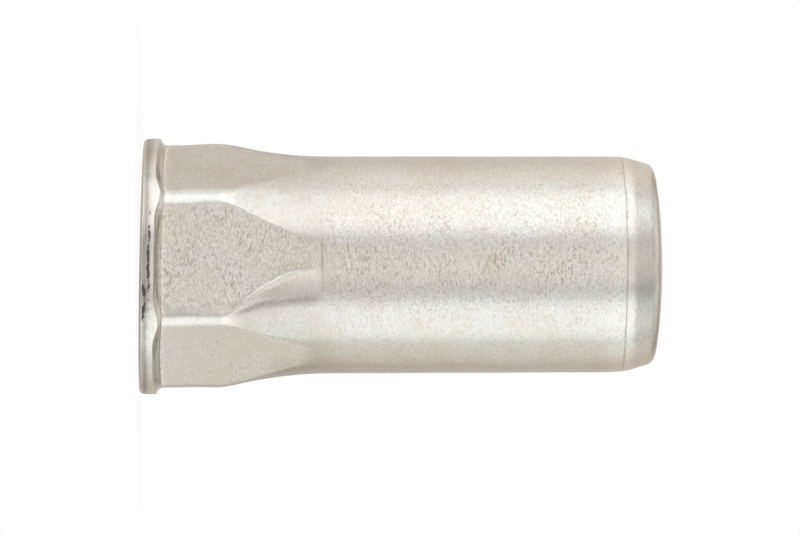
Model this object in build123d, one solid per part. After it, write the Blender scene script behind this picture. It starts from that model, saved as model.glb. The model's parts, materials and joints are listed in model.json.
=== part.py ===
from build123d import *
import os
from math import cos, radians, sqrt, tan

# Closed-end rivet nut: a half-hexagon shank under a small countersunk head.
# Millimetres. The origin is the centre of the head's outer face. +Z runs along the axis,
# through the shank to the closed end, and one flat of the hexagon faces -Y.

# Overall sizes
overall_length = 21.4
barrel_diameter = 9.0

# Head
head_overhang = 0.85         # rim beyond the barrel, on the radius
head_height = 0.98           # outer face to the root of the hexagon's flats
rim_height = 0.66            # outer face to the end of the rim's cylindrical band
rim_edge_radius = 0.27
countersink_angle = 90.0     # whole angle of the cone behind the rim
under_head_slope = 20.0      # fall of the six faces that run from the root out to the rim

# Hexagon, pressed into the first part of the barrel
flat_depth = 0.02            # each flat below the barrel's surface
corner_radius = 0.75
corner_length = 3.7          # outer face to where the corners start to run out
runout_length = 4.2          # from there to where the corners meet the barrel
crest_radius = 1.2           # rounding where the run-out starts
crest_gap = 0.01             # the run-out's cutter clears the full corners by this
flat_stop = 0.45             # the flats end this far before the run-out does

# Closed end
taper_length = 1.45
taper_inset = 0.40           # how far the taper draws in, on the radius
end_radius = 0.40            # rounding of the end's edge

# Bore: a plain entry that collapses when the nut is set, then the threaded end
entry_wall = 1.0             # between the entry and the barrel's surface
entry_depth = 9.2
mouth_chamfer = 0.3
core_diameter = 5.0          # core of the M6 x 1 thread
step_angle = 90.0            # whole angle of the cone between the entry and the core
drill_angle = 118.0
end_wall = 1.1               # left between the drill point and the closed end

# Worked out from the sizes above
barrel_radius = barrel_diameter / 2
rim_radius = barrel_radius + head_overhang
entry_radius = barrel_radius - entry_wall
flat_distance = barrel_radius - flat_depth
corner_reach = (flat_distance - corner_radius) / cos(radians(30)) + corner_radius
crest_reach = corner_reach + crest_gap
runout_end = corner_length + runout_length
flats_end = runout_end - flat_stop


def section_point(radius, height):
    """A point of a half section, in the XZ plane."""
    return Vector(radius, 0, height)


def vertex_at(section, radius, height):
    """The section's vertex at that radius and height."""
    return section.vertices().sort_by_distance(section_point(radius, height))[0]


def half_section(*points):
    """A straight-sided half section."""
    return make_face(Polyline(*[section_point(*p) for p in points], close=True))


def hexagon_at(height, flat_to_axis, rounding):
    """A hexagon across Z with rounded corners, and flats facing -Y and +Y."""
    hexagon = RegularPolygon(flat_to_axis, 6, major_radius=False)
    return Pos(0, 0, height) * fillet(hexagon.vertices(), rounding)


def head():
    """Round rim with a conical back, cut by six sloping faces that end at the hexagon."""
    cone_run = (head_height - rim_height) * tan(radians(countersink_angle / 2))
    section = half_section(
        (0, 0),
        (rim_radius, 0),
        (rim_radius, rim_height),
        (rim_radius - cone_run, head_height),
        (0, head_height),
    )
    section = fillet(vertex_at(section, rim_radius, 0), rim_edge_radius)
    fall_run = head_height / tan(radians(under_head_slope))
    foot = hexagon_at(0, flat_distance + fall_run, corner_radius + fall_run)
    root = hexagon_at(head_height, flat_distance, corner_radius)
    return revolve(section, Axis.Z) & loft([foot, root], ruled=True)


def runout_reach(height):
    """Reach of the corners' hollow arc at a height: it is tangent to the barrel at its end."""
    rise = crest_reach - barrel_radius
    arc_radius = (runout_length**2 + rise**2) / (2 * rise)
    return barrel_radius + arc_radius - sqrt(arc_radius**2 - (runout_end - height) ** 2)


def corner_cutter():
    """What turns the hexagon's corners away: crest rounding, then a hollow arc to the barrel."""
    outside = 2 * crest_reach
    past_end = runout_end + runout_length
    hollow = TangentArc(
        section_point(barrel_radius, runout_end),
        section_point(crest_reach, corner_length),
        tangent=(0, 0, -1),
    )
    outline = Polyline(
        section_point(crest_reach, corner_length),
        section_point(crest_reach, head_height),
        section_point(outside, head_height),
        section_point(outside, past_end),
        section_point(barrel_radius, past_end),
        section_point(barrel_radius, runout_end),
    )
    section = make_face(outline.edges() + hollow.edges())
    section = fillet(vertex_at(section, crest_reach, corner_length), crest_radius)
    return revolve(section, Axis.Z)


def hexagon_shank():
    """Hexagon with rounded corners that run out towards the barrel."""
    return extrude(hexagon_at(0, flat_distance, corner_radius), flats_end) - corner_cutter()


def barrel():
    """Round part of the shank: a slight flare at the flats' end, then straight and tapered."""
    top = barrel_radius - taper_inset
    section = half_section(
        (0, flats_end),
        (runout_reach(flats_end), flats_end),
        (barrel_radius, runout_end),
        (barrel_radius, overall_length - taper_length),
        (top, overall_length),
        (0, overall_length),
    )
    section = fillet(vertex_at(section, top, overall_length), end_radius)
    return revolve(section, Axis.Z)


def bore():
    """Mouth chamfer, plain entry, conical step, thread core and drill point."""
    core = core_diameter / 2
    core_start = entry_depth + (entry_radius - core) / tan(radians(step_angle / 2))
    tip = overall_length - end_wall
    core_end = tip - core / tan(radians(drill_angle / 2))
    section = half_section(
        (0, 0),
        (entry_radius + mouth_chamfer, 0),
        (entry_radius, mouth_chamfer),
        (entry_radius, entry_depth),
        (core, core_start),
        (core, core_end),
        (0, tip),
    )
    return revolve(section, Axis.Z)


def rivet_nut():
    """The whole nut, one solid."""
    return head() + hexagon_shank() + barrel() - bore()


os.makedirs("parts", exist_ok=True)
export_step(rivet_nut(), "parts/rivet_nut.step")
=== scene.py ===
"""A closed-end rivet nut with a half-hexagon shank, in its zinc-plated finish.

The nut stands on its head, as in the frame. Lengths are millimetres until a mesh, a lamp or
the camera is made, and angles are radians, where no comment says metres or degrees.
"""

import json
from math import atan2, cos, pi, radians, sin, sqrt, tan

import bpy
import numpy as np
from mathutils import Matrix, Vector


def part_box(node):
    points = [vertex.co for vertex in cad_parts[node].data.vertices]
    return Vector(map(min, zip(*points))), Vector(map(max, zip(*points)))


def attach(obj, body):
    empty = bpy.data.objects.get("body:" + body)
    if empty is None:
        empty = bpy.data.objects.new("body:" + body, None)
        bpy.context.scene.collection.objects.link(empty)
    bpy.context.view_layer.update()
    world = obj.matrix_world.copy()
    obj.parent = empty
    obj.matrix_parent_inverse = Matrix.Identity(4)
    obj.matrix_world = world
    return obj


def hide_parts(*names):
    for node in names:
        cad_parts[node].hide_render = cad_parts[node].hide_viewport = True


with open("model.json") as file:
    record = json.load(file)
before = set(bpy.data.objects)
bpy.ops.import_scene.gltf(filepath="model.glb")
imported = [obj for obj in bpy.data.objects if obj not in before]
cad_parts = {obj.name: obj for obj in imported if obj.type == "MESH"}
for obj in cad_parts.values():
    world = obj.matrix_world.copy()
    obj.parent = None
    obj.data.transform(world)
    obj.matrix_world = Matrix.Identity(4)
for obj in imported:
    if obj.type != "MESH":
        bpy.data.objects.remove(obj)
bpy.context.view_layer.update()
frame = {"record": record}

MM = 0.001
NODE = "rivet_nut"
MOUNTS = {mount["name"]: mount for mount in frame["record"]["mounts"]}
LOW, HIGH = (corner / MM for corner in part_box(NODE))

# Sizes from the frame
LENGTH = HIGH.z - LOW.z
HEAD_RADIUS = (HIGH.x - LOW.x) / 2
BARREL_RADIUS = MOUNTS["barrel"]["dims"]["r_mm"]
ENTRY_RADIUS = MOUNTS["entry_bore"]["dims"]["r_mm"]
CORE_RADIUS = MOUNTS["thread"]["dims"]["r_mm"]
CORE_START = MOUNTS["thread"]["pos_m"][2] / MM
CORE_END = CORE_START + MOUNTS["thread"]["dims"]["length_mm"]

FRONT = radians(-90)         # the front flat faces -Y
TOUCH = 0.001                # closer than this is taken as the same place

# Head: heights are from its own outer face, before the lean
RIM_SHORTFALL = 0.05         # the struck rim stays this far inside its full radius
RIM_RADIUS = HEAD_RADIUS - RIM_SHORTFALL
WIDEST_HEIGHT = 0.42         # the rim is widest here
RIM_CROWN = 0.045            # slow narrowing from there to the outer face
RIM_ROUND = 0.11             # quick narrowing at the outer face's edge
EDGE_HEIGHTS = (0.11, 0.085, 0.055, 0.032, 0.015, 0.005, 0.0)    # rings round that edge
RIM_HEIGHT = 0.46            # height of the foot of the cone behind the rim
CONE_SLOPE = 48.0            # fall of that cone, in degrees
CORNER_LIFT = 0.145          # the cone stands this much higher beside the hexagon's corners
LIFT_START = radians(18)     # and starts to rise this far round from a flat's middle
FRONT_LIFT = 0.10            # it rises this much more beside the two front corners
FRONT_FADE = (radians(40), radians(60))      # which dies out here, round from the front
UNDER_SLOPE = 21.5           # fall of the six faces behind the rim, in degrees
UNDER_SOFTNESS = 0.02        # rounding where they meet the cone
BACK_EDGE = 0.12             # width of the rounding between the rim and what is behind it
BACK_DROP = (0.03, 0.10)     # its height, beside a flat's middle and beside a corner
BACK_TURNS = (22, 45, 68, 90)                # its rings, in degrees round it
ROOT_HEIGHT = 0.85           # outer face to the root of the hexagon's flats
ROOT_FILLET = 0.08           # radius of the fillet there
ROOT_FLARE = 0.016           # the flats splay out by this just before the root
FLARE_START = 1.06           # from this height down
CORNER_RISE = 0.08           # the root is this much higher at the hexagon's corners
RISE_FADE = (0.9, 1.6)       # heights between which that rise dies out up the shank
HEAD_LEAN = 1.2              # the head sits this much out of square, as struck, in degrees
LEAN_END = 3.0               # height at which the lean has died out
HEAD_OFFSET = 0.035          # the head sits this far off the axis, towards +X
OFFSET_END = 3.0             # height at which that has died out

# Torn skin along the front of the rim: a line, and two patches below it
TORN_HEIGHT = 0.37           # height of the line
TORN_DEPTH = 0.04
TORN_SPREAD = radians(25)    # half width of the hump in which it fades, round the rim
# Height of each ring beside the line's middle, and how torn it is there
TORN_RINGS = (
    (0.075, 0.0), (0.05, 0.8), (0.0, 1.0), (-0.05, 0.8), (-0.09, 0.0),
    (-0.13, 0.0), (-0.17, 0.0), (-0.21, 0.0), (-0.245, 0.0),
)
WANDER_END = -0.1            # rings above this wander with the line
# Each patch: angle round from the front flat and half width, in degrees, and how its height
# rises with the angle, in millimetres for each degree
TORN_PATCHES = ((14.5, 3.5, 0.022), (24.5, 5.5, -0.012))
PATCH_HEIGHT = 0.17          # height of the patches' middles
PATCH_WIDTH = 0.085          # half width of the patches, up the rim
PATCH_STRENGTH = 1.4         # over 1, which makes their edges quicker

# Hexagon and its run-out. A span of four heights says where something grows and where it
# dies out.
FLAT = 4.48                  # axis to a flat
CORNER_RADIUS = 0.91         # rounding of the hexagon's corners
CORNER_END = 3.7             # height at which the corners start to run out
RUNOUT_END = 7.9             # height at which they meet the barrel
RUNOUT_HOLD = 1.6            # the hollow arc goes on down for this many run-outs
FLATS_END = 7.53             # height at which the flats end
FLATS_FADE = (FLATS_END - 0.6, FLATS_END + 0.2)      # they give way to the round here
STEP_FADE = (FLATS_END - 0.5, FLATS_END)     # the front one gives way half here
STEP_SHARE = 0.5             # and half in one small step at its end
CREST_SOFTNESS = 0.08        # rounding of the crest, where the corners start to run out
CREASE_SOFTNESS = 0.012      # where the run-out meets the front flat
FADE_SOFTNESS = 0.05         # where it meets the other flats
CREASE_END = radians(20)     # the front crease softens from here out to the corner
CREST_SWELL = 0.03           # the corners swell by this before the crest
SWELL_SPAN = (1.8, 3.2, 3.3, 3.8)
LEAST_BORDER = radians(7.5)  # a flat's edge comes no closer to its middle than this
LEAST_WIDTH = 0.3            # nor does the crept metal's edge, in millimetres

# Metal that has crept over the front flat's +X edge
CREEP_START = 3.55
CREEP_REACH = 0.47           # the most that it covers of the flat
CREEP_POWER = 1.05           # how pointed its outline is
CREEP_SLOPE = 13.0           # rise of its edge, in degrees
CREEP_RISE = (CREEP_START, CREEP_START + 0.5)        # it reaches that slope here
NOTCH_HEIGHT = 5.5           # height of a small step in its edge
NOTCH_DEPTH = 0.07
NOTCH_WIDTH = 0.10
ROLL_HEIGHT = 0.010          # the metal is rolled up by this behind the edge
ROLL_SPAN = (CREEP_START, 4.2, 5.2, 6.6)
ROLL_PLACE = (0.3, 0.15)     # how far behind the edge the roll is, and its half width
VALLEY_HEIGHTS = (3.8, 4.4, 5.0, 5.7, 7.0)
VALLEY_ANGLES = (28.0, 26.0, 23.3, 22.8, 21.6)       # round from the front flat, in degrees
VALLEY_WIDTH = radians(1.3)
VALLEY_DEPTH = 0.012
VALLEY_START = (3.7, 4.3)
VALLEY_FADE = (6.6, 8.2)
VALLEY_REST = 0.1            # what is left of it on the barrel
BULGE = 0.03                 # the run-out stands proud by this beyond the crept metal
BULGE_WIDTH = radians(6)
BULGE_SPAN = (3.8, 4.6, 7.0, 7.8)
BULGE_ANGLE = 28             # the bulge is this far round from the front flat, in degrees,
BULGE_HEIGHT = 5.8           # at this height,
BULGE_DRIFT = 1.8            # and this many degrees closer to it for each millimetre up

# Slow unevenness of the formed surfaces
WAVE_HEIGHT = 0.005
RIPPLE_HEIGHT = 0.003
DENT_HEIGHT = 0.0012

# Closed end
TAPER_LENGTH = 1.43
TAPER_START = LENGTH - TAPER_LENGTH
TAPER_START_SLOPE = 9.5      # fall of the narrow strip beside the barrel, in degrees
TAPER_STRIP = 0.35           # length of that strip
TAPER_BEND = 0.16            # the strip turns into the taper over this length
TAPER_SLOPE = 16.8           # fall of the taper, in degrees
TAPER_RINGS = (0.95, 0.75, 0.6, 0.48, 0.41, 0.36, 0.31, 0.22, 0.12, 0.06)    # past its start
END_RADIUS = 0.42            # rounding of the end's edge
END_CROWN = 0.24             # the end is a low dome
CROWN_POWER = 3              # how much flatter it is at its middle than at its edge
END_EDGE = 0.04              # the dome's edge lies this far inside the length
BARREL_DRAW = 0.015          # the barrel narrows by this on its way to the closed end
EDGE_DRAW = 0.02             # and by this just before the taper
EDGE_DRAW_LENGTH = 0.8
# The crease between barrel and taper: height of each ring past it, and its share of the depth and
# of the painted shade
CREASE_RINGS = ((0.03, 0.0), (0.012, 0.6), (0.0, 1.0), (-0.012, 0.6), (-0.03, 0.0))
CREASE_DEPTH = 0.02
# How dark the crease is painted, as shade
CREASE_PAINTED_SHADE = 0.6

# Bore
MOUTH_CHAMFER = 0.3
MOUTH_GAP = 0.02             # rings stay this far from the chamfer's sharp edge
ENTRY_DEPTH = 9.2
THREAD_PITCH = 1.0
THREAD_DEPTH = 0.54
THREAD_END = 17.8
THREAD_SPAN = (CORE_START - 0.1, CORE_START + 0.5, THREAD_END - 0.6, THREAD_END)
THREAD_ROOT = 0.12           # flat width of the thread's root, as a share of the pitch
THREAD_MOUTH = 0.9           # width of its groove at the core
THREAD_RINGS = 8             # rings for each turn
DRILL_ANGLE = 118.0          # whole angle of the drill point, in degrees

# Grid: columns in each half of a flat, and in the corner beside it
FLAT_COLUMNS = 12
CORNER_COLUMNS = 14
CREEP_CROWDING = 1.6         # the crept edge draws the columns beside it together
SECTORS = 6
HALF_SECTOR = radians(30)
RELAXED = HALF_SECTOR / 2    # border angle where the columns have no flat's edge to follow
RELAX_HEIGHT = 10.0          # above this they follow none
RIM_RELAXING = 0.3           # on the rim they are this far on the way to it
# Rings of the shank, from the taper down: first and last height, and how many
SHANK_RINGS = (
    (TAPER_START - 0.3, RUNOUT_END + 0.2, 50),       # barrel
    (RUNOUT_END, FLATS_END + 0.06, 4),               # last of the run-out
    (FLATS_END + 0.02, FLATS_END - 0.02, 2),         # step
    (FLATS_END - 0.08, CORNER_END + 0.6, 44),        # run-out
    (CORNER_END + 0.53, 2.4, 28),                    # crest
    (2.3, 1.2, 9),                                   # hexagon
    (1.12, ROOT_HEIGHT + 0.12, 3),                   # flare above the root
)

# How strongly each part is pitted, flats from the front one round towards +X
FLAT_GRAIN = np.array([1.15, 0.45, 0.7, 0.9, 0.7, 0.5])
RUNOUT_GRAIN = 0.3
BARREL_GRAIN = 0.35
BARREL_FRONT_GRAIN = 0.65    # what the barrel's front has more than its back
GRAIN_FADE = (FLATS_END - 0.6, FLATS_END + 0.8)      # from the run-out's to the barrel's
PLAIN_GRAIN = 0.4
RIM_GRAIN = 0.3
BACK_GRAIN = 0.2

# How bright each part's plate is, from 0 for dull to 1 for bright: partly its own, partly painted
# light and shade
# The flats' and corners' levels are partly painted light and shade: the flat next to the front
# towards +X brighter, the one towards -X darker, the corners brighter
FLAT_TONE = np.array([0.74, 0.96, 0.80, 0.78, 0.78, 0.68])
CORNER_TONE = 0.88
BARREL_TONE = 0.77
PLAIN_TONE = 0.72
RIM_TONE = 0.95
BACK_TONE = 0.9
MARK_EDGE = radians(1.5)     # a flat's tone and grain end over this, each side of its edge


def blend01(value, start, end):
    """0 before start, 1 after end, and a smooth rise between."""
    t = np.clip((value - start) / (end - start), 0, 1)
    return t * t * (3 - 2 * t)


def bump01(value, middle, half_width):
    """A smooth hump: 1 at the middle, 0.37 at the half width and near 0 at twice that."""
    return np.exp(-(((value - middle) / half_width) ** 2))


def streak(facing, middle, half_width):
    """A hump round the nut, with its place from the front flat and half width in degrees."""
    return bump01(facing, radians(middle), radians(half_width))


def window(value, span):
    """Grows from 0 to 1 over a span's first two values, and dies out over its last two."""
    return blend01(value, span[0], span[1]) * (1 - blend01(value, span[2], span[3]))


def soft_min(a, b, softness):
    """The lower of a and b, with the corner between them rounded."""
    share = np.clip(0.5 + 0.5 * (b - a) / softness, 0, 1)
    return b + (a - b) * share - softness * share * (1 - share)


class Columns:
    """The grid's columns: their sector, their side of its flat and their share of the way out."""

    def __init__(self):
        half = FLAT_COLUMNS + CORNER_COLUMNS
        steps = np.arange(-half, half) / half
        self.share = np.tile(np.abs(steps), SECTORS)
        self.side = np.tile(np.where(steps < 0, -1.0, 1.0), SECTORS)
        self.sector = np.repeat(np.arange(SECTORS), 2 * half)
        self.middle = FRONT + self.sector * 2 * HALF_SECTOR
        self.count = len(self.share)
        self.front = self.sector == 0
        self.lower = self.front & (self.side > 0)

    def out(self, border):
        """Angle from the flat's middle, when a flat's edge lies at the border angle."""
        edge = FLAT_COLUMNS / (FLAT_COLUMNS + CORNER_COLUMNS)
        inner = self.share / edge * border
        past = np.clip((self.share - edge) / (1 - edge), 0, 1)
        past = np.where(self.lower, past**CREEP_CROWDING, past)
        outer = border + past * (HALF_SECTOR - border)
        return np.where(self.share <= edge, inner, outer)

    def around(self, out):
        """Angle about the nut's axis, from +X."""
        return self.middle + self.side * out


COLUMNS = Columns()


def hexagon_reach(out):
    """Radius of the rounded hexagon at an angle from a flat's middle."""
    centre = (FLAT - CORNER_RADIUS) / cos(HALF_SECTOR)
    lean = HALF_SECTOR - out
    arc = np.sqrt(np.maximum(CORNER_RADIUS**2 - (centre * np.sin(lean)) ** 2, 0))
    on_flat = FLAT * np.tan(out) <= (FLAT - CORNER_RADIUS) * tan(HALF_SECTOR)
    return np.where(on_flat, FLAT / np.cos(out), centre * np.cos(lean) + arc)


HEXAGON_BORDER = atan2((FLAT - CORNER_RADIUS) * tan(HALF_SECTOR), FLAT)
CORNER_REACH = float(hexagon_reach(np.array(HALF_SECTOR)))


def facing_front(around):
    """Angle round from the front flat's middle, from -180 to 180 degrees, in radians."""
    return np.mod(around - FRONT + pi, 2 * pi) - pi


def runout_reach(height):
    """Radius of the hollow arc that brings the corners down to the barrel."""
    rise = CORNER_REACH - BARREL_RADIUS
    run = RUNOUT_END - CORNER_END
    arc_radius = (run**2 + rise**2) / (2 * rise)
    back = np.clip(RUNOUT_END - height, 0, RUNOUT_HOLD * run)
    return BARREL_RADIUS + arc_radius - np.sqrt(arc_radius**2 - back**2)


def creep(height):
    """How far the crept metal reaches over the front flat's +X edge."""
    way = np.clip((height - CREEP_START) / (FLATS_END - CREEP_START), 0, 1)
    notch = NOTCH_DEPTH * bump01(height, NOTCH_HEIGHT, NOTCH_WIDTH)
    return CREEP_REACH * np.sin(pi * way) ** CREEP_POWER - notch


def flat_border(height):
    """Angle at which the flats end, for each column."""
    reach = max(float(runout_reach(height)), FLAT / cos(LEAST_BORDER))
    half_width = sqrt(reach**2 - FLAT**2)
    natural = min(atan2(half_width, FLAT), HEXAGON_BORDER)
    trimmed = atan2(max(half_width - float(creep(height)), LEAST_WIDTH), FLAT)
    border = np.where(COLUMNS.lower, min(trimmed, HEXAGON_BORDER), natural)
    return border + (RELAXED - border) * blend01(height, FLATS_END, RELAX_HEIGHT)


def past_border(out, height):
    """Distance past the flats' edge, measured across a flat."""
    return FLAT * (np.tan(out) - np.tan(flat_border(height)))


def crept_cover(out, height):
    """How far the crept metal stands over the front flat, before the run-out limits it."""
    present = blend01(height, *CREEP_RISE) * (height < FLATS_END)
    cover = tan(radians(CREEP_SLOPE)) * present * np.maximum(past_border(out, height), 0)
    return np.where(COLUMNS.lower, cover, 0)


def crept_roll(out, height):
    """The raised roll behind the crept metal's edge."""
    roll = ROLL_HEIGHT * window(height, ROLL_SPAN) * bump01(past_border(out, height), *ROLL_PLACE)
    return np.where(COLUMNS.lower, roll, 0)


def bulge(facing, height):
    """A low swelling of the run-out, which leaves a soft valley beside the crept metal."""
    ridge = radians(BULGE_ANGLE - BULGE_DRIFT * (height - BULGE_HEIGHT))
    return BULGE * window(height, BULGE_SPAN) * bump01(facing, ridge, BULGE_WIDTH)


def valley(facing, height):
    """1 along the fold beside the crept metal, which dies out on the barrel."""
    middle = np.radians(np.interp(height, VALLEY_HEIGHTS, VALLEY_ANGLES))
    fading = 1 - (1 - VALLEY_REST) * blend01(height, *VALLEY_FADE)
    return blend01(height, *VALLEY_START) * fading * bump01(facing, middle, VALLEY_WIDTH)


def waves(around, height):
    """Slow unevenness of a formed surface: long waves, ripples and small dents."""
    wave = np.sin(2 * around + 0.9 * height + 0.4) * np.sin(0.55 * height + 3 * around)
    ripple = np.sin(5 * around - 1.7 * height + 1.1) * np.sin(2.1 * height + 0.7)
    dents = np.sin(23 * around + 2.9 * height) * np.sin(4.3 * height - 7 * around + 0.6)
    return WAVE_HEIGHT * wave + RIPPLE_HEIGHT * ripple + DENT_HEIGHT * dents


def flats_fade(height):
    """1 where the flats have given way to the round, with a small step on the front one."""
    step = STEP_SHARE * (height > FLATS_END)
    front = (1 - STEP_SHARE) * blend01(height, *STEP_FADE) + step
    return np.where(COLUMNS.front, front, blend01(height, *FLATS_FADE))


def pressed_radius(out, height):
    """Radius of the hexagon, with its run-out and the crept metal."""
    corner = (out / HALF_SECTOR) ** 4
    crease = np.where(COLUMNS.front, CREASE_SOFTNESS, FADE_SOFTNESS)
    crease = crease + (FADE_SOFTNESS - crease) * blend01(out, CREASE_END, HALF_SECTOR)
    softness = crease + (CREST_SOFTNESS - crease) * corner
    swell = CREST_SWELL * window(height, SWELL_SPAN) * corner
    pressed = hexagon_reach(out) + swell + crept_cover(out, height)
    formed = soft_min(pressed, runout_reach(height), softness)
    return formed + (runout_reach(height) - formed) * flats_fade(height)


def shank_radius(out, height):
    """Radius of the shank, from the head's root to the taper."""
    radius = barrel_radius(height) if height > RUNOUT_END else pressed_radius(out, height)
    flare = ROOT_FLARE * np.clip((FLARE_START - height) / (FLARE_START - ROOT_HEIGHT), 0, 1) ** 2
    around = COLUMNS.around(out)
    facing = facing_front(around)
    raised = crept_roll(out, height) + bulge(facing, height)
    sunk = VALLEY_DEPTH * valley(facing, height)
    return radius + flare + raised - sunk + waves(around, height)


def on_flats(out, height):
    """1 on the flats, 0 on the corners and the run-out."""
    border = flat_border(height)
    inside = 1 - blend01(out, border - MARK_EDGE, border + MARK_EDGE)
    return inside * (1 - blend01(height, FLATS_END - 1.0, FLATS_END))


def shank_grain(out, height):
    """How strongly the shank is pitted: most on the front flat and the barrel's front."""
    facing = facing_front(COLUMNS.around(out))
    barrel = BARREL_GRAIN + BARREL_FRONT_GRAIN * streak(facing, -2, 34)
    pressed = RUNOUT_GRAIN + (FLAT_GRAIN[COLUMNS.sector] - RUNOUT_GRAIN) * on_flats(out, height)
    return pressed + (barrel - pressed) * blend01(height, *GRAIN_FADE)


def shank_tone(out, height):
    """How bright the shank is painted, from the head's root to the taper, with painted light and
    shade.
    """
    facing = facing_front(COLUMNS.around(out))
    pressed = pressed_tone(out, facing, height)
    tone = pressed + (BARREL_TONE - pressed) * barrel_share(facing, height)
    # Painted light: brighter near the root and towards the taper
    tone = tone + 0.15 * (1 - blend01(height, 0.95, 1.25))
    tone = tone + 0.15 * blend01(height, TAPER_START - 1.2, TAPER_START)
    # Painted shade along the valley's fold, and painted light at the lower front corner, at the
    # front flat's step and at the crept metal's edge
    tone = tone - 0.45 * valley(facing, height) + corner_painted_light(facing, height)
    return tone + step_painted_shade(facing, height) + lip_painted_light(out, height)


def pressed_tone(out, facing, height):
    """Brightness of the flats and of the run-outs, which are painted duller than the corners as
    shade, less so in two streaks.
    """
    facet = streak(facing, 10, 11)
    upper = streak(facing, -20, 10)
    # Painted shade on the run-outs, less in two streaks round from the front flat
    painted_runout_shade = 0.42 - 0.36 * facet - 0.16 * upper
    corner = CORNER_TONE - painted_runout_shade * blend01(height, CORNER_END - 0.3, CORNER_END + 0.8)
    pressed = corner + (FLAT_TONE[COLUMNS.sector] - corner) * on_flats(out, height)
    # Painted shade: a darker streak on the run-out 70 degrees round from the front flat
    return pressed - 0.3 * streak(facing, 70, 8) * blend01(height, 4.5, 6.0)


def barrel_share(facing, height):
    """How far the tone has turned into the barrel's: half at once, past the crept metal."""
    past_creep = window(facing, np.radians((0, 4, 20, 30)))
    quick = blend01(height, FLATS_END - 0.03, FLATS_END + 0.03)
    slow = blend01(height, FLATS_END - 1.5, FLATS_END + 1.5)
    return slow + (quick - slow) * 0.5 * past_creep


def corner_painted_light(facing, height):
    """The lower front corner: a painted highlight on it, and painted shade in a margin beside the
    flat.
    """
    # Painted highlight on the corner, and painted shade in the margin beside the flat
    painted_corner_highlight = 0.12 * streak(facing, 30.5, 2.5) * (1 - blend01(height, 3.4, 4.0))
    painted_corner_shade = 0.35 * streak(facing, 26.3, 2.2) * (1 - blend01(height, 2.0, 4.2))
    return painted_corner_highlight - painted_corner_shade


def step_painted_shade(facing, height):
    """The step where the front flat ends: a dark line painted as shade in the step, and the flat
    painted brighter just before it.
    """
    # Painted shade: a dark line in the step, and the flat painted brighter just before it
    line = 0.45 * (abs(height - FLATS_END) < 0.03)
    brighter_before_step = 0.25 * bump01(height, FLATS_END - 0.25, 0.2)
    return streak(facing, 3, 11) * (brighter_before_step - line)


def lip_painted_light(out, height):
    """The crept metal's edge: painted shade in a dark line at its foot, and a painted highlight on
    the roll behind.
    """
    across = past_border(out, height)
    # Painted highlight on the roll behind the edge, and painted shade in a dark line at its foot
    mark = 0.25 * bump01(across, 0.2, 0.16) - 0.25 * bump01(across, -0.02, 0.05)
    return np.where(COLUMNS.lower, window(height, (CREEP_START, 4.0, 7.1, 7.5)) * mark, 0)


class Rows:
    """Rings of points, from the closed end's middle round to the drill point."""

    def __init__(self):
        self.points = []
        self.grain = []
        self.torn = []
        self.tone = []

    def add(self, out, radius, height, grain=PLAIN_GRAIN, torn=0.0, tone=PLAIN_TONE):
        """One ring, given as values or arrays over the columns."""
        around = COLUMNS.around(out)
        level = np.zeros(COLUMNS.count)
        radius = radius + level
        ring = [radius * np.cos(around), radius * np.sin(around), height + level]
        self.points.append(np.stack(ring, axis=1))
        self.grain.append(grain + level)
        self.torn.append(torn + level)
        self.tone.append(tone + level)

    def plain(self, radius, height, **marks):
        """One ring on evenly spaced columns."""
        self.add(COLUMNS.out(RELAXED), radius, height, **marks)

    def arc(self, middle, radius, start, end, steps):
        """Rings along an arc of the half section, in degrees from +radius towards +Z."""
        for angle in np.radians(np.linspace(start, end, steps)):
            self.plain(middle[0] + radius * cos(angle), middle[1] + radius * sin(angle))


def barrel_radius(height):
    """Radius of the barrel, which draws in a little towards the taper."""
    slow = BARREL_DRAW * blend01(height, RUNOUT_END, LENGTH)
    quick = EDGE_DRAW * blend01(height, TAPER_START - EDGE_DRAW_LENGTH, TAPER_START)
    return BARREL_RADIUS - slow - quick


def taper_drop(past):
    """How far the taper has drawn in at a distance past its start."""
    gentle = tan(radians(TAPER_START_SLOPE))
    steep = tan(radians(TAPER_SLOPE))
    bend = np.clip(past - TAPER_STRIP + TAPER_BEND / 2, 0, TAPER_BEND)
    beyond = max(past - TAPER_STRIP - TAPER_BEND / 2, 0)
    return gentle * past + (steep - gentle) * (bend**2 / (2 * TAPER_BEND) + beyond)


def taper_painted_light(facing, past):
    """Painted light on the taper: bright beside the barrel, with painted highlights in two pale
    streaks and painted shade in a dull one beyond.
    """
    # Painted highlights in two streaks, and painted shade over the rest with a deeper streak
    painted_pale_streaks = 0.3 * streak(facing, -4, 7) + 0.2 * streak(facing, -23, 7)
    dull = 0.28 + 0.18 * streak(facing, 24, 7)
    return 1.0 - (dull - painted_pale_streaks) * blend01(past, 0.1, 0.5)


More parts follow.
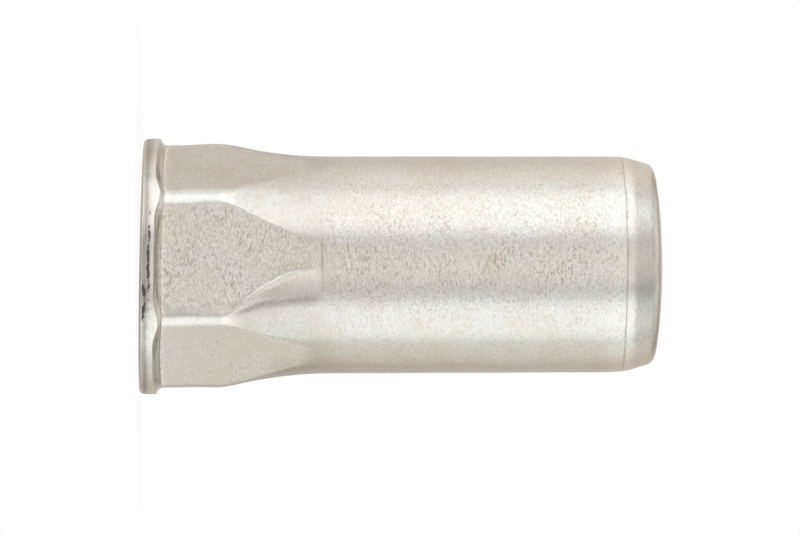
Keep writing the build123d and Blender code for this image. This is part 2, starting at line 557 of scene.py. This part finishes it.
def closed_end(rows):
    """Crowned end, its rounding, the taper and the crease before the barrel."""
    wide = barrel_radius(TAPER_START)
    top = LENGTH - END_EDGE
    slope = radians(TAPER_SLOPE)
    low = top - END_RADIUS * (1 - sin(slope))
    flat_edge = wide - taper_drop(low - TAPER_START) - END_RADIUS * cos(slope)
    for radius in np.linspace(0.5, flat_edge - 0.1, 8):
        rows.plain(radius, top + END_CROWN * (1 - (radius / flat_edge) ** CROWN_POWER))
    rows.arc((flat_edge, top - END_RADIUS), END_RADIUS, 90, TAPER_SLOPE, 9)
    around = COLUMNS.around(COLUMNS.out(RELAXED))
    for past in TAPER_RINGS:
        # Painted light and shade on the taper
        tone = taper_painted_light(facing_front(around), past)
        rows.plain(wide - taper_drop(past), TAPER_START + past, tone=tone)
    wander = 0.012 * np.sin(3 * around + 1) + 0.008 * np.sin(11 * around)
    for past, share in CREASE_RINGS:
        crease = CREASE_DEPTH * share + taper_drop(max(past, 0))
        # The crease is painted dark as shade, through the same attribute as the torn skin
        rows.plain(wide - crease, TAPER_START + past + wander, torn=CREASE_PAINTED_SHADE * share)
    before = TAPER_START - 0.08
    # Painted light, as on the shank's end beside it
    rows.plain(barrel_radius(before), before, grain=0.6, tone=0.9)


def shank(rows):
    """Barrel, run-out and hexagon, down to the root's fillet."""
    for height in np.concatenate([np.linspace(*rings) for rings in SHANK_RINGS]):
        out = COLUMNS.out(flat_border(height))
        marks = {"grain": shank_grain(out, height), "tone": shank_tone(out, height)}
        rise = CORNER_RISE * (out / HALF_SECTOR) ** 4 * (1 - blend01(height, *RISE_FADE))
        rows.add(out, shank_radius(out, height), height + rise, **marks)


def under_head(radius, out):
    """Height of the surface behind the rim: six sloping faces, cut by a cone."""
    across = radius * np.cos(out) - FLAT
    along = radius * np.sin(out) - (FLAT - CORNER_RADIUS) * tan(HALF_SECTOR)
    deep = across + CORNER_RADIUS
    round_corner = np.hypot(deep, np.maximum(along, 0)) - CORNER_RADIUS
    fall = tan(radians(UNDER_SLOPE)) * np.where(along > 0, round_corner, across)
    face = ROOT_HEIGHT + CORNER_RISE * (out / HALF_SECTOR) ** 2 - fall
    front = 1 - blend01(np.abs(facing_front(COLUMNS.around(out))), *FRONT_FADE)
    lift = (CORNER_LIFT + FRONT_LIFT * front) * blend01(out, LIFT_START, HALF_SECTOR)
    cone = RIM_HEIGHT + lift + (RIM_RADIUS - radius) * tan(radians(CONE_SLOPE))
    return soft_min(face, cone, UNDER_SOFTNESS)


def head(rows):
    """Root fillet, faces behind the rim, the rim and the outer face."""
    out = COLUMNS.out(HEXAGON_BORDER)
    foot = root_fillet(rows, out)
    beside_flat = 1 - blend01(out, LIFT_START, radians(28))
    for share in np.linspace(0, 1, 10)[1:]:
        radius = foot + (RIM_RADIUS - BACK_EDGE - foot) * share
        # Painted shade: the faces behind the rim are painted darker partway out, beside the flats
        dull = bump01(share, 0.70, 0.33) * beside_flat
        rows.add(out, radius, under_head(radius, out), grain=0.5, tone=1.0 - 0.95 * dull)
    rim_back(rows, out)
    torn_band(rows)
    outer_face(rows)


def root_fillet(rows, out):
    """The fillet between the flats and the faces behind the rim; gives its foot's radius."""
    root = shank_radius(out, ROOT_HEIGHT)
    step = 0.1
    slope = np.arctan((under_head(root, out) - under_head(root + step, out)) / step)
    foot = root + ROOT_FILLET * (1 - np.sin(slope))
    middle = under_head(foot, out) + ROOT_FILLET * np.cos(slope)
    for share in np.linspace(0, 1, 8):
        turn = pi + share * (pi / 2 - slope)
        radius = root + ROOT_FILLET * (1 + np.cos(turn))
        shade = 1.0 - 0.7 * bump01(share, 0.7, 0.15)
        rows.add(out, radius, middle + ROOT_FILLET * np.sin(turn), grain=0.8, tone=shade)
    return foot


def rim_out():
    """The columns' angles on the rim, where they have started to spread evenly."""
    return COLUMNS.out(HEXAGON_BORDER + (RELAXED - HEXAGON_BORDER) * RIM_RELAXING)


def rim_back(rows, out):
    """The rounding behind the rim, which is deeper beside a corner, and the band's first ring."""
    back = under_head(RIM_RADIUS - BACK_EDGE, out)
    beside_corner = (back - back.min()) / (back.max() - back.min())
    drop = BACK_DROP[0] + (BACK_DROP[1] - BACK_DROP[0]) * beside_corner
    marks = {"grain": BACK_GRAIN, "tone": BACK_TONE}
    for turn in np.radians(BACK_TURNS):
        radius = RIM_RADIUS - BACK_EDGE * (1 - sin(turn))
        rows.add(out, radius, back - drop * (1 - cos(turn)), **marks)
    rows.add(rim_out(), RIM_RADIUS, (back - drop + TORN_HEIGHT + 0.10) / 2, **marks)


def torn_band(rows):
    """The rim's band, with the torn line along its front, the patches below, and a band of painted
    shade below it.
    """
    out = rim_out()
    around = COLUMNS.around(out)
    facing = facing_front(around)
    front = bump01(facing, 0, TORN_SPREAD)
    jagged = 0.6 + 0.4 * np.sin(around * 61 + 2 * np.sin(around * 17))
    wander = 0.02 * np.sin(around * 9) + 0.014 * np.sin(around * 47 + 2 * np.sin(around * 13))
    for above, line in TORN_RINGS:
        height = TORN_HEIGHT + above + wander * (above > WANDER_END)
        mark = np.maximum(line * front, torn_patches(facing, height))
        radius = RIM_RADIUS - rim_drop(height) - TORN_DEPTH * mark * jagged
        marks = {"grain": RIM_GRAIN, "torn": mark, "tone": rim_band_painted_shade(facing, above)}
        rows.add(out, radius, height, **marks)


def outer_face(rows):
    """The rim's outer edge and the flat face round the mouth."""
    for height in EDGE_HEIGHTS:
        rows.plain(RIM_RADIUS - rim_drop(height), height, grain=RIM_GRAIN, tone=RIM_TONE)
    edge = RIM_RADIUS - rim_drop(0)
    for radius in np.linspace(edge - 0.1, ENTRY_RADIUS + MOUTH_CHAMFER, 8):
        rows.plain(radius, 0)


def torn_patches(facing, height):
    """How torn the rim is in the patches below the torn line."""
    torn = 0.0
    for angle, half_width, rise in TORN_PATCHES:
        middle = PATCH_HEIGHT + rise * (np.degrees(facing) - angle)
        along = streak(facing, angle, half_width)
        torn = torn + PATCH_STRENGTH * along * bump01(height, middle, PATCH_WIDTH)
    return np.clip(torn, 0, 1)


def rim_band_painted_shade(facing, above):
    """Brightness of the rim beside the torn line, with painted shade in a band round below it,
    along the front and on the far side.
    """
    # Painted shade along the front, in a band round below the torn line, and on the far side
    front = (0.2 if above > 0 else 0.8) * streak(facing, 2, 20)
    groove = 0.95 * bump01(above, -0.13, 0.12)
    dull = np.maximum(front, groove)
    painted_far_side_shade = 0.35 * blend01(-facing, radians(35), radians(60))
    return RIM_TONE - dull - painted_far_side_shade * (1 - dull)


def rim_drop(height):
    """How much narrower the rim is at a height than at its widest."""
    share = np.clip(1 - height / WIDEST_HEIGHT, 0, 1)
    return RIM_CROWN * share**2 + RIM_ROUND * share**8


def thread_radius(around, height):
    """Radius inside the thread: a right-hand groove with a flat crest and root."""
    turn = np.mod(height / THREAD_PITCH - around / (2 * pi), 1)
    from_middle = np.abs(turn - 0.5) * 2
    groove = np.clip((THREAD_MOUTH - from_middle) / (THREAD_MOUTH - THREAD_ROOT), 0, 1)
    return CORE_RADIUS + THREAD_DEPTH * groove * window(height, THREAD_SPAN)


def bore(rows):
    """Mouth, plain entry, step, thread, and the drill point; gives the point's height."""
    rows.plain(ENTRY_RADIUS + MOUTH_GAP, MOUTH_CHAMFER - MOUTH_GAP)
    for height in np.linspace(MOUTH_CHAMFER + MOUTH_GAP, ENTRY_DEPTH, 10):
        rows.plain(ENTRY_RADIUS, height)
    for share in (0.35, 0.7):
        radius = ENTRY_RADIUS + (CORE_RADIUS - ENTRY_RADIUS) * share
        rows.plain(radius, ENTRY_DEPTH + (CORE_START - ENTRY_DEPTH) * share)
    around = COLUMNS.around(COLUMNS.out(RELAXED))
    steps = round((THREAD_END - CORE_START) / THREAD_PITCH * THREAD_RINGS)
    for height in np.linspace(CORE_START, THREAD_END, steps):
        rows.plain(thread_radius(around, height), height)
    point = CORE_RADIUS / tan(radians(DRILL_ANGLE / 2))
    for share in (0.0, 0.3, 0.6, 0.85):
        rows.plain(CORE_RADIUS * (1 - share), CORE_END + point * share)
    return CORE_END + point


def set_askew(points):
    """Moves the head a little off the axis and leans it, but not what is inside the bore."""
    height = points[:, 2].copy()
    inside = np.hypot(points[:, 0], points[:, 1]) < ENTRY_RADIUS + MOUTH_CHAMFER + TOUCH
    deep = inside & (height > TOUCH)
    hold = np.where(deep, 0.0, 1 - blend01(height, ROOT_HEIGHT, OFFSET_END))
    lean = np.where(deep, 0.0, 1 - blend01(height, ROOT_HEIGHT, LEAN_END))
    rise = tan(radians(HEAD_LEAN)) * (RIM_RADIUS - points[:, 0])
    points[:, 2] += lean * rise
    points[:, 0] += hold * HEAD_OFFSET
    return points


def grid_faces(rings, columns):
    """Quads between rings, with a fan at each end."""
    faces = []
    for ring in range(rings - 1):
        here = ring * columns
        there = here + columns
        for column in range(columns):
            right = (column + 1) % columns
            faces.append((here + column, there + column, there + right, here + right))
    first = rings * columns
    last = first + 1
    end = (rings - 1) * columns
    for column in range(columns):
        right = (column + 1) % columns
        faces.append((first, column, right))
        faces.append((last, end + right, end + column))
    return faces


def nut_mesh():
    """The whole nut as one closed mesh."""
    rows = Rows()
    closed_end(rows)
    shank(rows)
    head(rows)
    tip = bore(rows)
    rings = len(rows.points)
    end = LENGTH - END_EDGE + END_CROWN
    points = np.concatenate(rows.points + [[[0, 0, end]], [[0, 0, tip]]])
    points = set_askew(points)
    mesh = bpy.data.meshes.new("nut_body")
    mesh.from_pydata((points * MM).tolist(), [], grid_faces(rings, COLUMNS.count))
    mesh.validate()
    mesh.polygons.foreach_set("use_smooth", [True] * len(mesh.polygons))
    # The tone attribute carries painted light and shade as well as the plate's own brightness
    for name, rings_of in (("grain", rows.grain), ("torn", rows.torn), ("tone", rows.tone)):
        ends = [rings_of[0][:1], rings_of[-1][:1]]
        layer = mesh.attributes.new(name, "FLOAT", "POINT")
        layer.data.foreach_set("value", np.concatenate(rings_of + ends))
    mesh.update()
    return mesh


def node(tree, kind, inputs=None, **settings):
    """A shader node with its settings and inputs; an input is a value or another node's socket."""
    made = tree.nodes.new(kind)
    for name, value in settings.items():
        setattr(made, name, value)
    for name, value in (inputs or {}).items():
        if isinstance(value, bpy.types.NodeSocket):
            tree.links.new(value, made.inputs[name])
        else:
            made.inputs[name].default_value = value
    return made


def maths(tree, operation, first, second=0.0):
    """The result of one math node."""
    return node(tree, "ShaderNodeMath", {0: first, 1: second}, operation=operation).outputs[0]


def between(tree, value, low, high, to_low=0.0, to_high=1.0):
    """A value taken from one range to another, and held at its ends."""
    return node(tree, "ShaderNodeMapRange", {
        "Value": value, "From Min": low, "From Max": high, "To Min": to_low, "To Max": to_high,
    }).outputs["Result"]


def noise(tree, place, scale, **settings):
    """A noise field, about 0.5 on the whole."""
    inputs = {"Vector": place, "Scale": scale, **settings}
    return node(tree, "ShaderNodeTexNoise", inputs).outputs["Fac"]


def stretched(tree, place, x, y, z):
    """The place with its axes scaled, which draws a pattern out along the smaller ones."""
    return node(tree, "ShaderNodeMapping", {"Vector": place, "Scale": (x, y, z)}).outputs["Vector"]


def tint(tree, share, base, colour):
    """The base colour, turned to another one by a share."""
    return node(tree, "ShaderNodeMix", {
        "Factor": share, "A": base, "B": colour,
    }, data_type="RGBA").outputs["Result"]


# Noise scales are for each metre, so 1000 gives marks of about a millimetre
STROKE_SCALE = 8600.0
PIT_SCALE = 5200.0
PIT_PATCH_SCALE = 800.0
CLOUD_SCALE = 380.0
SPOT_SCALE = 4600.0
BREAK_SCALE = 2600.0
FINE_SCALE = 13000.0
SCRATCH_SCALE = 9000.0
GLOSS_SCALE = 600.0
RELIEF_DEPTH = 0.0000022     # metres
ROUGHNESS = (0.17, 0.22)     # least and most
STROKE_CONTRAST = 0.6        # how much the strokes change the plate's tone
COOL_LIFT = 0.07             # how much brighter it is where cool, and duller where warm
FINE_BROWNING = 0.15         # how far the fine grain turns it brown
PIT_BROWNING = 0.7           # and the pits

# Colours of the plate: dull or bright, and warm or cool
WARM_DULL = (0.42, 0.395, 0.365, 1)
COOL_DULL = (0.405, 0.41, 0.40, 1)
WARM_BRIGHT = (0.87, 0.835, 0.78, 1)
COOL_BRIGHT = (0.845, 0.855, 0.835, 1)
GRAIN_BROWN = (0.60, 0.54, 0.46, 1)
PIT_BROWN = (0.42, 0.375, 0.32, 1)
# Colour of torn skin, also painted into the crease as shade
TORN_SKIN_AND_CREASE_SHADE = (0.13, 0.112, 0.12, 1)
WHITE = (1, 1, 1, 1)


def grain_marks(tree, place, amount):
    """Short light and dark strokes, drawn out round the nut, about 0 on the whole."""
    drawn = stretched(tree, place, 1, 1, 1.5)
    strokes = noise(tree, drawn, STROKE_SCALE, Detail=4.0, Roughness=0.65, Distortion=0.6)
    return maths(tree, "MULTIPLY", between(tree, strokes, 0.34, 0.62, -0.5, 0.5), amount)


def pit_marks(tree, place, amount):
    """Thin dark strokes round the nut, in patches."""
    drawn = stretched(tree, place, 1, 1, 2.4)
    cells = noise(tree, drawn, PIT_SCALE, Detail=3.0, Distortion=0.7)
    pits = between(tree, cells, 0.36, 0.46, 1.0, 0.0)
    patches = between(tree, noise(tree, place, PIT_PATCH_SCALE, Detail=4.0), 0.40, 0.58, 0.4, 1.0)
    return maths(tree, "MULTIPLY", maths(tree, "MULTIPLY", pits, patches), amount)


def warm_or_cool(tree, place):
    """0 where the plate is warm and 1 where it is cool, in clouds and in small spots."""
    clouds = noise(tree, place, CLOUD_SCALE, Detail=5.0, Roughness=0.65)
    spots = noise(tree, stretched(tree, place, 1, 1, 1.4), SPOT_SCALE, Detail=3.0)
    both = maths(tree, "ADD", clouds, maths(tree, "MULTIPLY", spots, 0.7))
    return between(tree, both, 0.72, 0.98)


def zinc_colour(tree, place, tone, torn, pits, fine):
    """Dull to bright plate, with painted light and shade in the tone, warm or cool, brown in the
    pits, and dark where torn and in the crease's painted shade.
    """
    cool = warm_or_cool(tree, place)
    tone = maths(tree, "ADD", tone, between(tree, cool, 0, 1, -COOL_LIFT, COOL_LIFT))
    dull = tint(tree, cool, WARM_DULL, COOL_DULL)
    bright = tint(tree, cool, WARM_BRIGHT, COOL_BRIGHT)
    plate = tint(tree, tone, dull, bright)
    grained = tint(tree, maths(tree, "MULTIPLY", fine, FINE_BROWNING), plate, GRAIN_BROWN)
    marked = tint(tree, maths(tree, "MULTIPLY", pits, PIT_BROWNING), grained, PIT_BROWN)
    breaks = between(tree, noise(tree, place, BREAK_SCALE), 0.40, 0.60, -0.3, 0.1)
    # Torn skin, and the crease's painted shade, turn the plate dark here
    torn_and_crease_shade_share = maths(tree, "ADD", torn, maths(tree, "MULTIPLY", fine, 0.4))
    torn_and_crease_shade_share = maths(tree, "ADD", torn_and_crease_shade_share, breaks)
    return tint(tree, between(tree, torn_and_crease_shade_share, 0.74, 1.0), marked, TORN_SKIN_AND_CREASE_SHADE)


def attribute(tree, name):
    """One of the mesh's point attributes."""
    return node(tree, "ShaderNodeAttribute", attribute_name=name).outputs["Fac"]


def relief(tree, place, strokes, fine, pits):
    """The normal of a surface with strokes, fine grain, pits and scratches."""
    scratches = noise(tree, stretched(tree, place, 1, 1, 0.03), SCRATCH_SCALE)
    marks = maths(tree, "SUBTRACT", maths(tree, "ADD", strokes, fine), pits)
    marks = maths(tree, "ADD", marks, maths(tree, "MULTIPLY", scratches, 0.5))
    return node(tree, "ShaderNodeBump", {
        "Height": marks, "Strength": 1.0, "Distance": RELIEF_DEPTH,
    }).outputs["Normal"]


def zinc_plate():
    """Bright zinc on cold-formed steel: pale, faintly warm, pitted, with dark torn skin, painted
    light and shade in its tone, and painted shade in the crease.
    """
    material = bpy.data.materials.new("zinc_plate")
    material.use_nodes = True
    tree = material.node_tree
    tree.nodes.clear()
    place = node(tree, "ShaderNodeTexCoord").outputs["Object"]
    amount = attribute(tree, "grain")
    torn = attribute(tree, "torn")
    strokes = grain_marks(tree, place, amount)
    uneven = maths(tree, "MULTIPLY", strokes, STROKE_CONTRAST)
    tone = maths(tree, "ADD", attribute(tree, "tone"), uneven)
    pits = pit_marks(tree, place, amount)
    fine = noise(tree, stretched(tree, place, 1, 1, 1.4), FINE_SCALE)
    fine = between(tree, fine, 0.3, 0.7)
    gloss = noise(tree, place, GLOSS_SCALE, Detail=3.0)
    metal = node(tree, "ShaderNodeBsdfPrincipled", {
        "Base Color": zinc_colour(tree, place, tone, torn, pits, fine),
        "Metallic": 1.0, "Roughness": between(tree, gloss, 0.3, 0.7, *ROUGHNESS),
        "Normal": relief(tree, place, strokes, fine, pits),
    })
    node(tree, "ShaderNodeOutputMaterial", {"Surface": metal.outputs["BSDF"]})
    return material


def make_nut():
    """The visible nut, which stands for the CAD node."""
    nut = bpy.data.objects.new("nut_body", nut_mesh())
    bpy.context.scene.collection.objects.link(nut)
    nut.data.materials.append(zinc_plate())
    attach(nut, "root")
    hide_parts(NODE)


# Camera: lying on its side, so that the nut's axis runs across the picture
TURN = radians(4.2)          # the camera stands this far round from the front flat
CAMERA_DISTANCE = 213.8
CAMERA_HEIGHT = 4.17
AIM_HEIGHT = 10.82
AIM_ASIDE = 0.069            # the aim lies this far off the axis, down the picture
ROLL = radians(-0.16)
LENS = 231.75
SENSOR = 36.0
CLIP_START, CLIP_END = 0.01, 5.0             # metres

TO_CAMERA = Vector((sin(TURN), -cos(TURN), 0))
PICTURE_UP = Vector((-cos(TURN), -sin(TURN), 0))
AXIS = Vector((0, 0, 1))


def make_camera():
    """The camera, level with the hexagon's upper end, with a long lens."""
    aim = -PICTURE_UP * AIM_ASIDE + AXIS * AIM_HEIGHT
    place = TO_CAMERA * CAMERA_DISTANCE - PICTURE_UP * AIM_ASIDE + AXIS * CAMERA_HEIGHT
    back = (place - aim).normalized()
    right = PICTURE_UP.cross(back).normalized()
    up = back.cross(right)
    turned = Matrix.Rotation(ROLL, 3, back)
    axes = Matrix((turned @ right, turned @ up, back)).transposed()
    data = bpy.data.cameras.new("camera")
    data.sensor_width = SENSOR
    data.lens = LENS
    data.clip_start = CLIP_START
    data.clip_end = CLIP_END
    camera = bpy.data.objects.new("camera", data)
    camera.matrix_world = Matrix.Translation(place * MM) @ axes.to_4x4()
    bpy.context.scene.collection.objects.link(camera)
    bpy.context.scene.camera = camera


# Lamps: the angles round from the camera between which each lies, positive up the picture, the
# angles above the horizon between which it reaches, both in degrees, and its radiance
LAMP_DISTANCE = 250.0
LAMPS = {
    "upper_lamp": {"sides": (34, 84), "heights": (-45, 37), "radiance": 0.345},
    "lower_lamp": {"sides": (-33, -84), "heights": (-45, 36), "radiance": 0.325},
}


def softbox(name, sides, heights, radiance):
    """A large soft lamp that faces the nut."""
    middle = radians(sum(sides) / 2)
    spread = abs(radians(sides[1] - sides[0])) / 2
    outward = TO_CAMERA * cos(middle) + PICTURE_UP * sin(middle)
    bottom, top = (LAMP_DISTANCE * tan(radians(angle)) for angle in heights)
    centre = outward * LAMP_DISTANCE + AXIS * (LENGTH / 2 + (top + bottom) / 2)
    data = bpy.data.lights.new(name, "AREA")
    data.shape = "RECTANGLE"
    data.size = 2 * LAMP_DISTANCE * tan(spread) * MM
    data.size_y = (top - bottom) * MM
    data.energy = radiance * pi * data.size * data.size_y
    lamp = bpy.data.objects.new(name, data)
    axes = Matrix((AXIS.cross(outward).normalized(), AXIS, outward)).transposed()
    lamp.matrix_world = Matrix.Translation(centre * MM) @ axes.to_4x4()
    lamp.visible_camera = False
    bpy.context.scene.collection.objects.link(lamp)


def make_lights():
    """Two large soft lamps, one at each side of the camera."""
    for name, lamp in LAMPS.items():
        softbox(name, **lamp)


# The room round the nut: its colour at angles round from the camera, in degrees, positive up
# the picture. They were set one by one until the bands along the nut were like the photo's.
ROOM = (
    (-180, (0.58, 0.53, 0.48)),
    (-136, (0.55, 0.50, 0.45)),
    (-117, (0.72, 0.685, 0.635)),
    (-95, (0.77, 0.76, 0.71)),
    (-87, (0.78, 0.81, 0.74)),
    (-78, (0.74, 0.74, 0.72)),
    (-60, (0.79, 0.79, 0.77)),
    (-46, (0.76, 0.76, 0.74)),
    (-38, (0.60, 0.60, 0.59)),
    (-33, (0.50, 0.50, 0.49)),
    (-28, (0.58, 0.57, 0.56)),
    (-20, (0.80, 0.77, 0.74)),
    (-8, (0.835, 0.805, 0.765)),
    (12, (0.83, 0.80, 0.76)),
    (20, (0.76, 0.74, 0.72)),
    (27, (0.67, 0.66, 0.65)),
    (34, (0.82, 0.81, 0.80)),
    (57, (0.91, 0.91, 0.895)),
    (85, (0.83, 0.82, 0.79)),
    (92, (0.94, 0.92, 0.88)),
    (117, (0.83, 0.78, 0.725)),
    (136, (0.69, 0.635, 0.58)),
    (180, (0.62, 0.57, 0.52)),
)
# How the room's level changes with the angle above the horizon, in degrees
CEILING = (
    (-90, 0.60), (-45, 0.80), (-24, 0.95), (-10, 1.02),
    (1, 1.0), (7, 1.15), (20, 1.17), (31, 0.75), (40, 0.79), (52, 0.95), (90, 1.08),
)
ROOM_STRENGTH = 1.25         # taken out of those levels, which keeps them below 1, and put back


def colour_ramp(tree, factor, stops, span):
    """A ramp over an angle in degrees, given with its stops' colours."""
    ramp = node(tree, "ShaderNodeValToRGB", {"Fac": factor})
    elements = ramp.color_ramp.elements
    while len(elements) > 1:
        elements.remove(elements[0])
    for number, (angle, colour) in enumerate(stops):
        place = (angle - span[0]) / (span[1] - span[0])
        element = elements[0] if number == 0 else elements.new(place)
        element.position = place
        element.color = (*colour, 1)
    return ramp.outputs["Color"]


def angle_share(tree, angle, whole):
    """An angle in radians as a share of a whole range about zero, 0.5 at its middle."""
    inputs = {0: angle, 1: 1 / whole, 2: 0.5}
    return node(tree, "ShaderNodeMath", inputs, operation="MULTIPLY_ADD").outputs[0]


def part_along(tree, way, axis):
    """The part of a direction that lies along an axis."""
    dot = node(tree, "ShaderNodeVectorMath", {0: way, 1: axis}, operation="DOT_PRODUCT")
    return dot.outputs["Value"]


def room_colour(tree):
    """Colour of the room in each direction, as the metal reflects it."""
    way = node(tree, "ShaderNodeTexCoord").outputs["Generated"]
    upward = part_along(tree, way, PICTURE_UP)
    turn = maths(tree, "ARCTAN2", upward, part_along(tree, way, TO_CAMERA))
    walls = colour_ramp(tree, angle_share(tree, turn, 2 * pi), ROOM, (-180, 180))
    high = node(tree, "ShaderNodeSeparateXYZ", {0: way}).outputs["Z"]
    rise = angle_share(tree, maths(tree, "ARCSINE", high), pi)
    levels = [(angle, (level / ROOM_STRENGTH,) * 3) for angle, level in CEILING]
    ceiling = colour_ramp(tree, rise, levels, (-90, 90))
    return node(tree, "ShaderNodeMix", {
        "Factor": 1.0, "A": walls, "B": ceiling,
    }, data_type="RGBA", blend_type="MULTIPLY").outputs["Result"]


def either(tree, share, first, second):
    """Turns one shader into another by a share."""
    both = node(tree, "ShaderNodeMixShader", {0: share})
    tree.links.new(first.outputs[0], both.inputs[1])
    tree.links.new(second.outputs[0], both.inputs[2])
    return both.outputs[0]


def make_world():
    """White to camera rays alone: the metal shows a dim warm room instead of that white."""
    world = bpy.data.worlds.new("room")
    bpy.context.scene.world = world
    world.use_nodes = True
    tree = world.node_tree
    tree.nodes.clear()
    room = {"Color": room_colour(tree), "Strength": ROOM_STRENGTH}
    dim = node(tree, "ShaderNodeBackground", room)
    white = node(tree, "ShaderNodeBackground", {"Color": WHITE, "Strength": 1.0})
    seen = node(tree, "ShaderNodeLightPath").outputs["Is Camera Ray"]
    node(tree, "ShaderNodeOutputWorld", {"Surface": either(tree, seen, dim, white)})


# Floor: white to the camera, with a little matt grey near the nut that takes its shadow
FLOOR_RADIUS = 60.0
FLOOR_SIDES = 96
FLOOR_GREY = (0.85, 0.85, 0.85, 1)
NEAR_WHITE = 0.93            # share of white up to the first of these distances from the axis
NEAR_FLOOR = 5.5
CLEAR_FLOOR = 13.0           # all white from here on


def floor_material():
    """White to camera rays, less so near the nut, and matt grey to all others."""
    material = bpy.data.materials.new("floor")
    material.use_nodes = True
    tree = material.node_tree
    tree.nodes.clear()
    matt = node(tree, "ShaderNodeBsdfDiffuse", {"Color": FLOOR_GREY})
    white = node(tree, "ShaderNodeEmission", {"Color": WHITE, "Strength": 1.0})
    place = node(tree, "ShaderNodeTexCoord").outputs["Object"]
    away = node(tree, "ShaderNodeVectorMath", {0: place}, operation="LENGTH").outputs["Value"]
    cleared = node(tree, "ShaderNodeMapRange", {
        "Value": away, "From Min": NEAR_FLOOR * MM, "From Max": CLEAR_FLOOR * MM,
        "To Min": NEAR_WHITE, "To Max": 1.0,
    }, interpolation_type="SMOOTHSTEP").outputs["Result"]
    seen = node(tree, "ShaderNodeLightPath").outputs["Is Camera Ray"]
    share = maths(tree, "MULTIPLY", seen, cleared)
    node(tree, "ShaderNodeOutputMaterial", {"Surface": either(tree, share, matt, white)})
    return material


def make_floor():
    """A pale round floor under the head, with a faint shadow; the metal doesn't show it."""
    angles = [2 * pi * side / FLOOR_SIDES for side in range(FLOOR_SIDES)]
    reach = FLOOR_RADIUS * MM
    rim = [(reach * cos(angle), reach * sin(angle), 0) for angle in angles]
    mesh = bpy.data.meshes.new("floor")
    mesh.from_pydata(rim, [], [tuple(range(FLOOR_SIDES))])
    floor = bpy.data.objects.new("floor", mesh)
    bpy.context.scene.collection.objects.link(floor)
    floor.data.materials.append(floor_material())
    floor.visible_glossy = False


make_camera()
make_lights()
make_world()
make_floor()
make_nut()
bpy.context.scene.view_settings.view_transform = "Standard"
